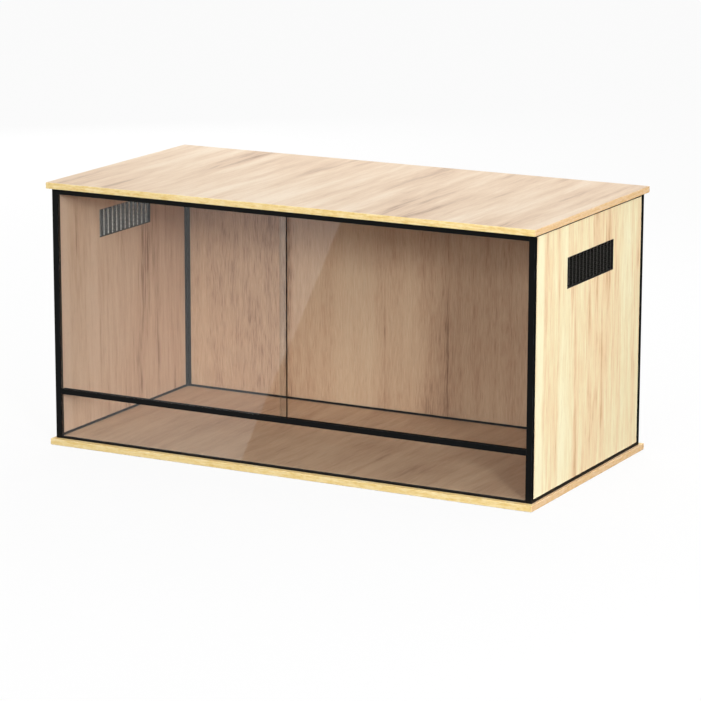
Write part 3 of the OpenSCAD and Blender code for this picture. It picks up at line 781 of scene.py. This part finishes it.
def front_rails(finish):
    """Top double track, middle rail with its two grooves over a pane channel, and the low rail."""
    divider = LIP_T + GROOVE_W
    divider_end, channel_lip = divider + DIVIDER_T, divider + LIP_T
    rear_lip = divider_end + GROOVE_W
    depth = rear_lip + LIP_T
    track = (0, LIP_T), (divider, divider_end), (rear_lip, depth)
    channel = (0, LIP_T), (divider, channel_lip)
    h = height("top_door_track")
    roof = h - TOP_WEB_T
    front_rail("top_door_track", finish, comb(track, 0, roof) + [(depth, h), (0, h)], (roof, h))
    h, floor = height("mid_rail"), MID_CHANNEL_H + MID_WEB_T
    step = [(channel_lip, MID_CHANNEL_H), (depth, MID_CHANNEL_H)]
    middle = comb(channel, 0, MID_CHANNEL_H) + step + comb(track, h, floor)[::-1]
    front_rail("mid_rail", finish, middle, (MID_CHANNEL_H, floor))
    sill = [(0, 0), (channel_lip, 0)] + comb(channel, height("front_bottom_rail"), FRONT_WEB_T)[::-1]
    front_rail("front_bottom_rail", finish, sill, (0, FRONT_WEB_T))


def glass_sheet(node, body, glass, edge):
    """A pane with round corners: big faces and left rim clear, other rims near black as painted shade."""
    low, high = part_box(node)

    def rim(mesh):
        """True where a face takes the near-black rim finish, painted shade."""
        normals = np.zeros(len(mesh.polygons) * 3)
        mesh.polygons.foreach_get("normal", normals)
        x, y, _ = normals.reshape(-1, 3).T
        return (np.abs(y) < 0.999) & (x > -0.3)

    sheet = plate(low, high, 1, GLASS_CORNER_R, GLASS_ARRIS)
    piece(node, "sheet", [sheet], "tinted_glass", glass, edge, body=body, by_face=rim)


def gaskets(finish):
    """A U of rubber under the lower pane and one over it, each with a lip that bears on the glass."""
    node = "lower_pane_gaskets"
    low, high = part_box(node)
    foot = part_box("front_bottom_rail")
    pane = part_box("lower_pane")
    lips = (0, pane[0].y - low.y), (pane[1].y - low.y, GROOVE_W)
    shells = []
    for z, way, tall in ((low.z, 1, foot[1].z - low.z), (high.z, -1, MID_CHANNEL_H)):
        section = [(0, 0), (GROOVE_W, 0)] + comb(lips, tall, GASKET_WEB)[::-1]
        p = np.array(section) * (1, way) + (low.y, z)
        shells.append(bar(p if way > 0 else p[::-1], 0, low.x, high.x, GASKET_EASE))
    piece(node, "strips", shells, "gasket_rubber", finish)


def glides(node, body, finish):
    """Two slippery pads under a door, eased like runners."""
    low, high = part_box(node)
    shells = [plate((x, low.y, low.z), (x + GLIDE_LEN, high.y, high.z), 2, GLIDE_CORNER_R, GLIDE_EASE)
              for x in (low.x, high.x - GLIDE_LEN)]
    piece(node, "pads", shells, "glide_plastic", finish, body=body)


def vent_liner(side, finish):
    """A stepped sleeve: one profile carried round a rectangle, mitred at its four corners.

    Each point of the profile has a depth from the outer face and half sizes in Y and Z; the four
    corners of its rectangle are the columns of the grid.
    """
    node, low, high = on_side("{}_vent_liner", side)
    middle = (low + high) / 2
    outlines = []
    for size, ledge in ((VENT_W, LEDGE_END), (VENT_H, LEDGE_EDGE)):
        outer, slot = size / 2, size / 2 - ledge
        corners = [(0, outer - LINER_T), (VENT_RECESS - LINER_T, outer - LINER_T),
                   (VENT_RECESS - LINER_T, slot), (PANEL_T, slot), (PANEL_T, slot + LINER_T),
                   (VENT_RECESS, slot + LINER_T), (VENT_RECESS, outer), (0, outer)]
        outlines.append(eased(corners, LINER_EASE))
    (in_y, wear), (in_z, _) = outlines
    signs = np.array([(1, 1), (-1, 1), (-1, -1), (1, -1)])
    points = np.stack([np.broadcast_to((high.x - in_y[:, 0])[:, None], (len(in_y), 4)),
                       middle.y + in_y[:, 1][:, None] * signs[:, 0],
                       middle.z + in_z[:, 1][:, None] * signs[:, 1]], axis=-1)
    faces = grid_faces(len(in_y), 4, close_rows=True, close_columns=True)
    sleeve = Shell(points.reshape(-1, 3), faces, np.repeat(wear, 4))
    piece(node, "sleeve", [sleeve], "liner_plastic", finish, side=side)


def wires(middle, size, across, radius, crimp, per_cell, cell, phase):
    """Parallel crimped wires as tubes of six sides.

    Wire i lies at across[i]. Along it the middle line swings out of the net by
    crimp * cos(pi * (t / cell + i) + phase), so that it passes over one crossing wire and under the
    next, and every ring of the tube is a circle square to the wire. Points go by wire, ring and side,
    as (across, along, out of the net); a point's mark is how far it faces out, from 0 to 1.
    """
    rings = max(2, int(round(size / cell * per_cell)) + 1)
    t = np.linspace(-size / 2, size / 2, rings)[None, :, None]
    i = np.arange(len(across))[:, None, None]
    a = np.linspace(0, 2 * math.pi, WIRE_SIDES, endpoint=False)[None, None, :]
    out = crimp * np.cos(math.pi * (t / cell + i) + phase)
    shape = (len(across), rings, WIRE_SIDES)
    flat = np.broadcast_to(np.asarray(across)[:, None, None] + radius * np.cos(a), shape)
    points = np.stack([flat, np.broadcast_to(t, shape), out + radius * np.sin(a) + middle], axis=-1)
    starts = range(0, len(across) * rings * WIRE_SIDES, rings * WIRE_SIDES)
    tube = tube_faces(rings, WIRE_SIDES)
    faces = [[i + start for i in face] for start in starts for face in tube]
    outward = np.broadcast_to(0.5 + 0.5 * np.sin(a), shape).reshape(-1)
    return Shell(points.reshape(-1, 3), faces, outward)


def spread(size, pitch):
    """The places of the wires that fit into a size at a pitch."""
    cells = int((size - 2 * WIRE_R) / pitch)
    return (np.arange(cells + 1) - cells / 2) * pitch


def vent_net(side, finish, gauze):
    """Crimped wires woven both ways, the uprights in fours, with a fine gauze between them."""
    node, low, high = on_side("{}_vent_mesh", side)
    middle = (low + high) / 2
    w, h = high.y - low.y, high.z - low.z
    strands = (spread(w, MESH_PITCH_W)[:, None] + WIRE_R * np.array(UPRIGHT_STRANDS)).reshape(-1)
    strands = strands[np.abs(strands) <= w / 2 - WIRE_R]
    nets = [
        (False, wires(NET_MID_X, h, strands, WIRE_R, *UPRIGHT_BEND, MESH_PITCH_H, 0)),
        (True, wires(NET_MID_X, w, spread(h, MESH_PITCH_H), WIRE_R, *LEVEL_BEND, MESH_PITCH_W,
                     math.pi / 2)),
    ]
    coarse = sum(len(net.faces) for _, net in nets)
    for level, size, across in ((False, h, w), (True, w, h)):
        fine_at = np.arange(-across / 2 + GAUZE_PITCH, across / 2, GAUZE_PITCH)
        nets.append((level, wires(NET_MID_X, size, fine_at, GAUZE_WIRE / 2, 0, 0, size, 0)))
    shells = []
    for level, net in nets:
        points = net.points[:, (2, 1, 0) if level else (2, 0, 1)] + (0, middle.y, middle.z)
        faces = [face[::-1] for face in net.faces] if level else net.faces
        outward = np.maximum(net.mark, LEVEL_SPRAY) if level else net.mark
        shells.append(Shell(points, faces, outward))
    piece(node, "woven", shells, "vent_wire", finish, gauze, side=side,
          by_face=lambda mesh: np.arange(len(mesh.polygons)) >= coarse)


def brackets(finish):
    """Four angle brackets: an L with a bend, carried over the bracket's width."""
    x, _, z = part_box("top_brackets")[1]
    corners = [(z, x), (z - BRACKET_LEG, x), (z - BRACKET_LEG, x - BRACKET_T),
               (z - BRACKET_T, x - BRACKET_T), (z - BRACKET_T, x - BRACKET_LEG), (z, x - BRACKET_LEG)]
    outline, wear = eased(corners, BRACKET_EASE)
    half = BRACKET_W / 2
    shells = [mirrored(carried([outline], 1, s * BRACKET_Y - half, s * BRACKET_Y + half, wear), side)
              for side in (LEFT, RIGHT) for s in (-1, 1)]
    piece("top_brackets", "angles", shells, "bracket_steel", finish)


def screw(head, shank_r, length, pitch, recess):
    """A wood screw that points up from its head, with a cross recess and a thread.

    head is the profile of the head as (radius, level), from its middle outwards. Where a point of
    the head's face lies within the recess's cross, |x| or |y| small, it is pushed in. The thread's
    radius is shank_r less thread_depth * (0.5 - 0.5 * cos(turn)), turn = 2 pi * level / pitch - angle.
    Row by row, a point lies at (radius * cos angle, radius * sin angle, level).
    """
    columns, face_rings, thread_depth = 48, 11, 0.18 * shank_r
    a = np.linspace(0, 2 * math.pi, columns, endpoint=False)[None, :]
    width, reach, deep = recess
    r_face = np.linspace(0.01, 0.8, face_rings)[:, None] * head[1][0]
    bar_x = (np.abs(r_face * np.sin(a)) < width) & (r_face < reach)
    bar_y = (np.abs(r_face * np.cos(a)) < width) & (r_face < reach)
    face_z = head[0][1] + (head[1][1] - head[0][1]) * (r_face / head[1][0]) ** 2 + deep * (bar_x | bar_y)
    rim = np.array(head[1:])
    rim_shape = len(rim), columns
    top = rim[-1, 1]
    z = np.linspace(top, top + length, max(2, int(length / pitch * 6)))[:, None]
    tip = np.clip((top + length - z) / (3 * shank_r), 0, 1) ** 0.7
    thread = thread_depth * (0.5 - 0.5 * np.cos(2 * math.pi * z / pitch - a))
    r = np.vstack([np.broadcast_to(r_face, (face_rings, columns)),
                   np.broadcast_to(rim[:, :1], rim_shape),
                   np.maximum((shank_r - thread) * tip, 0.02 * MM)])
    level = np.vstack([face_z, np.broadcast_to(rim[:, 1:], rim_shape),
                       np.broadcast_to(z, (len(z), columns))])
    points = np.stack([r * np.cos(a), r * np.sin(a), level], axis=-1).reshape(-1, 3)
    return Shell(points, tube_faces(len(r), columns), np.zeros(len(points)))


def laid(shell):
    """Turns a screw that points along +Z so that it points along +X."""
    return Shell(shell.points[:, (2, 0, 1)], shell.faces, shell.mark)


def bracket_screws(finish):
    """Pan-head screws through the brackets, up into the top board and sideways into the panels."""
    x, _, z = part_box("top_brackets")[1]
    head_r, head_h, shank = 3.5 * MM, 2.2 * MM, 1.75 * MM
    profile = [(0, -head_h), (0.8 * head_r, -0.86 * head_h), (0.95 * head_r, -0.6 * head_h),
               (head_r, -0.25 * head_h), (head_r, 0), (shank, 0)]
    pan = screw(profile, shank, length=11.4 * MM, pitch=1.5 * MM,
                recess=(0.45 * MM, 2.0 * MM, 1.1 * MM))
    shells = []
    for side in (LEFT, RIGHT):
        for s in (-1, 1):
            up = moved(pan, (x - BRACKET_SCREW_AT, s * BRACKET_Y, z - BRACKET_T))
            across = moved(laid(pan), (x - BRACKET_T, s * BRACKET_Y, z - BRACKET_SCREW_AT))
            shells += [mirrored(up, side), mirrored(across, side)]
    piece("bracket_screws", "pan", shells, "screw_steel", finish)


def post_screws(finish):
    """Countersunk screws up through the base board into the four posts."""
    node = "post_screws"
    low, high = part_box(node)
    front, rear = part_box("front_right_post"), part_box("rear_right_post")
    head_r, shank = 4 * MM, 2 * MM
    profile = [(0, 0), (0.97 * head_r, 0), (head_r, 0.05 * MM), (shank, head_r - shank)]
    sunk = screw(profile, shank, length=high.z - low.z - 2 * MM, pitch=1.8 * MM,
                 recess=(0.5 * MM, 2.3 * MM, 1.6 * MM))
    ports = [((front[0].x + front[1].x) / 2, front[0].y + FRONT_POST_D / 2),
             (rear[1].x - REAR_POST_W / 2, rear[1].y - REAR_POST_W / 2)]
    shells = [mirrored(moved(sunk, (x, y, low.z)), side) for side in (LEFT, RIGHT) for x, y in ports]
    piece(node, "sunk", shells, "screw_steel", finish)


def build_cabinet():
    """Gives every CAD node its finish or a detailed piece in its place."""
    woods = {name: wood_decor(name, wood) for name, wood in WOODS.items()}
    for node, name in (("top_board", "top_board_decor"), ("base_board", "base_board_decor"),
                       ("floor_panel", "floor_decor"), ("back_panel", "back_panel_decor"),
                       ("left_side_panel", "side_panel_decor"), ("right_side_panel", "side_panel_decor")):
        dress(node, woods[name])
    for board, seed in (("top", 2.0), ("base", 7.0)):
        banding = edge_band(board + "_edge_band", *BAND_TONES[:2], BAND_DEEP, seed)
        edge_bands(board + "_edge_bands", banding, board + "_edge_band")
    black = frame_paint()
    for side in (LEFT, RIGHT):
        front_post(side, black)
        rear_post(side, black)
    for level, top in (("bottom", False), ("top", True)):
        for side in (LEFT, RIGHT):
            panel_rail("{}_" + level + "_rail", black, top, side)
        panel_rail("rear_" + level + "_rail", black, top)
    front_rails(black)
    glass = pane_glass()
    # The glass's rim: near black, painted shade for the dark look of a glass edge, with fine grinding
    # lines
    edge = dark_finish("glass_rim_painted_dark", (160, 2400, 160), colour(4, 4, 3), colour(14, 12, 10),
                       (0.25, 0.45), 0.08, (0.02 * MM, 0.4))
    glass_sheet("lower_pane", "cabinet", glass, edge)
    glass_sheet("left_door_glass", "left_door", glass, edge)
    glass_sheet("right_door_glass", "right_door", glass, edge)
    gaskets(moulded("gasket_rubber", colour(22, 22, 23), colour(34, 34, 35), (0.62, 0.8), 1400))
    pads = moulded("glide_plastic", colour(38, 38, 42), colour(50, 50, 54), (0.4, 0.55), 1100)
    glides("left_door_glides", "left_door", pads)
    glides("right_door_glides", "right_door", pads)
    plastic = moulded("liner_plastic", colour(16, 16, 17), colour(26, 26, 27), (0.45, 0.62), 1300)
    wire = vent_wire()
    # The lacquered gauze between the wires
    gauze = dark_finish("vent_gauze", 1200, colour(5, 5, 6), colour(12, 12, 13),
                        (0.6, 0.8), 0.03, (0.01 * MM, 0.5))
    for side in (LEFT, RIGHT):
        vent_liner(side, plastic)
        vent_net(side, wire, gauze)
    brackets(plated("bracket_steel", colour(52, 52, 54), colour(74, 74, 76), (0.4, 0.55)))
    screws = plated("screw_steel", colour(176, 176, 172), colour(208, 208, 204), (0.24, 0.42))
    bracket_screws(screws)
    post_screws(screws)


# ---- Studio ----

def studio_camera():
    """The photograph's camera, found by fitting the cabinet's edges."""
    data = bpy.data.cameras.new("photo_camera")
    data.lens = CAMERA_LENS
    data.sensor_width = 36
    camera = new_object("photo_camera", data)
    camera.location = CAMERA_AT
    turns = ((CAMERA_YAW, "Z"), (90 + CAMERA_PITCH, "X"), (CAMERA_ROLL, "Z"))
    yaw, pitch, roll = (Matrix.Rotation(math.radians(angle), 3, axis) for angle, axis in turns)
    camera.rotation_euler = (yaw @ pitch @ roll).to_euler()
    bpy.context.scene.camera = camera


def studio_ground():
    """A wide pale ground under the cabinet, seen by the camera only."""
    half, z = 40, -0.2 * MM
    mesh = bpy.data.meshes.new("studio_ground")
    corners = [(-half, -half, z), (half, -half, z), (half, half, z), (-half, half, z)]
    mesh.from_pydata(corners, [], [(0, 1, 2, 3)])
    mesh.materials.append(floor_paper())
    ground = new_object("studio_ground", mesh)
    ground.visible_diffuse = False
    ground.visible_glossy = False
    ground.visible_transmission = False


def studio_sky():
    """White light from above, weaker near the horizon and almost none from below."""
    world = bpy.data.worlds.new("studio_sky")
    t = Tree(world)
    height = t.separate(t.node("ShaderNodeTexCoord", {}).outputs["Generated"])["Z"]
    level = t.node("ShaderNodeFloatCurve", {"Value": height})
    curve = level.mapping.curves[0]
    level.mapping.use_clip = False
    for step in SKY_STEPS:
        curve.points.new(*step)
    for point in curve.points:
        point.handle_type = "VECTOR"
    level.mapping.update()
    light = t.node("ShaderNodeBackground", {"Strength": level.outputs[0]})
    t.node("ShaderNodeOutputWorld", {"Surface": light.outputs[0]})
    bpy.context.scene.world = world


def softbox(name, at, aim, width, height, radiance, glossy=True, diffuse=True):
    """A rectangular soft light of even radiance that faces a point: power = radiance * pi * area."""
    data = bpy.data.lights.new(name, "AREA")
    data.shape = "RECTANGLE"
    data.size, data.size_y = width, height
    data.energy = radiance * math.pi * width * height
    light = new_object(name, data)
    light.location = at
    light.rotation_euler = (Vector(aim) - Vector(at)).to_track_quat("-Z", "Y").to_euler()
    light.visible_camera = False
    light.visible_glossy = glossy
    light.visible_diffuse = diffuse
    return light


def fade_light(data, edge, left, share):
    """Lets the card grow dimmer to the left of its edge: distances on the glass times share."""
    t = Tree(data, empty=False)
    glow = next(node for node in t.tree.nodes if node.type == "EMISSION")
    place = t.node("ShaderNodeNewGeometry", {}).outputs["Position"]
    gap = t.node("ShaderNodeVectorMath", {0: place, 1: edge}, operation="SUBTRACT").outputs[0]
    reach = t.node("ShaderNodeVectorMath", {0: gap, 1: left}, operation="DOT_PRODUCT").outputs["Value"]
    start, end = (far * share for far in VEIL_FADE)
    t.tree.links.new(t.range(reach, start, end, 1.0, VEIL_LOW), glow.inputs["Strength"])


def reflection_card():
    """The bright card that the left part of the glass mirrors, with its slanting edge.

    The edge is a line on the glass, from EDGE_TOP to EDGE_FOOT. The camera's mirror image in the
    glass looks through that line onto an upright plane in front of the cabinet, where the card's
    right-hand edge lies; the card runs on to the left from it.
    """
    glass_y = EDGE_TOP[1]
    eye = Vector(CAMERA_AT)
    eye.y = 2 * glass_y - eye.y
    share = (CARD_Y - eye.y) / (glass_y - eye.y)
    top, foot = (eye + (Vector(p) - eye) * share for p in (EDGE_TOP, EDGE_FOOT))
    towards_glass = Vector((0, 1, 0))
    up = (top - foot).normalized()
    left = up.cross(towards_glass).normalized()
    middle = (top + foot) / 2 + left * CARD_SIZE / 2
    card = softbox("reflection_card", middle, middle + towards_glass, CARD_SIZE, CARD_SIZE,
                   CARD_RADIANCE, diffuse=False)
    fade_light(card.data, top, left, share)
    card.rotation_euler = Matrix((-left, up, -towards_glass)).transposed().to_euler()


def studio():
    """The camera, the ground and all light."""
    bpy.context.scene.view_settings.view_transform = "Standard"
    studio_camera()
    studio_ground()
    studio_sky()
    for name, light in LIGHTS.items():
        softbox(name, *light, glossy=False)
    softbox("front_card", *FRONT_CARD, diffuse=False)
    reflection_card()


build_cabinet()
studio()
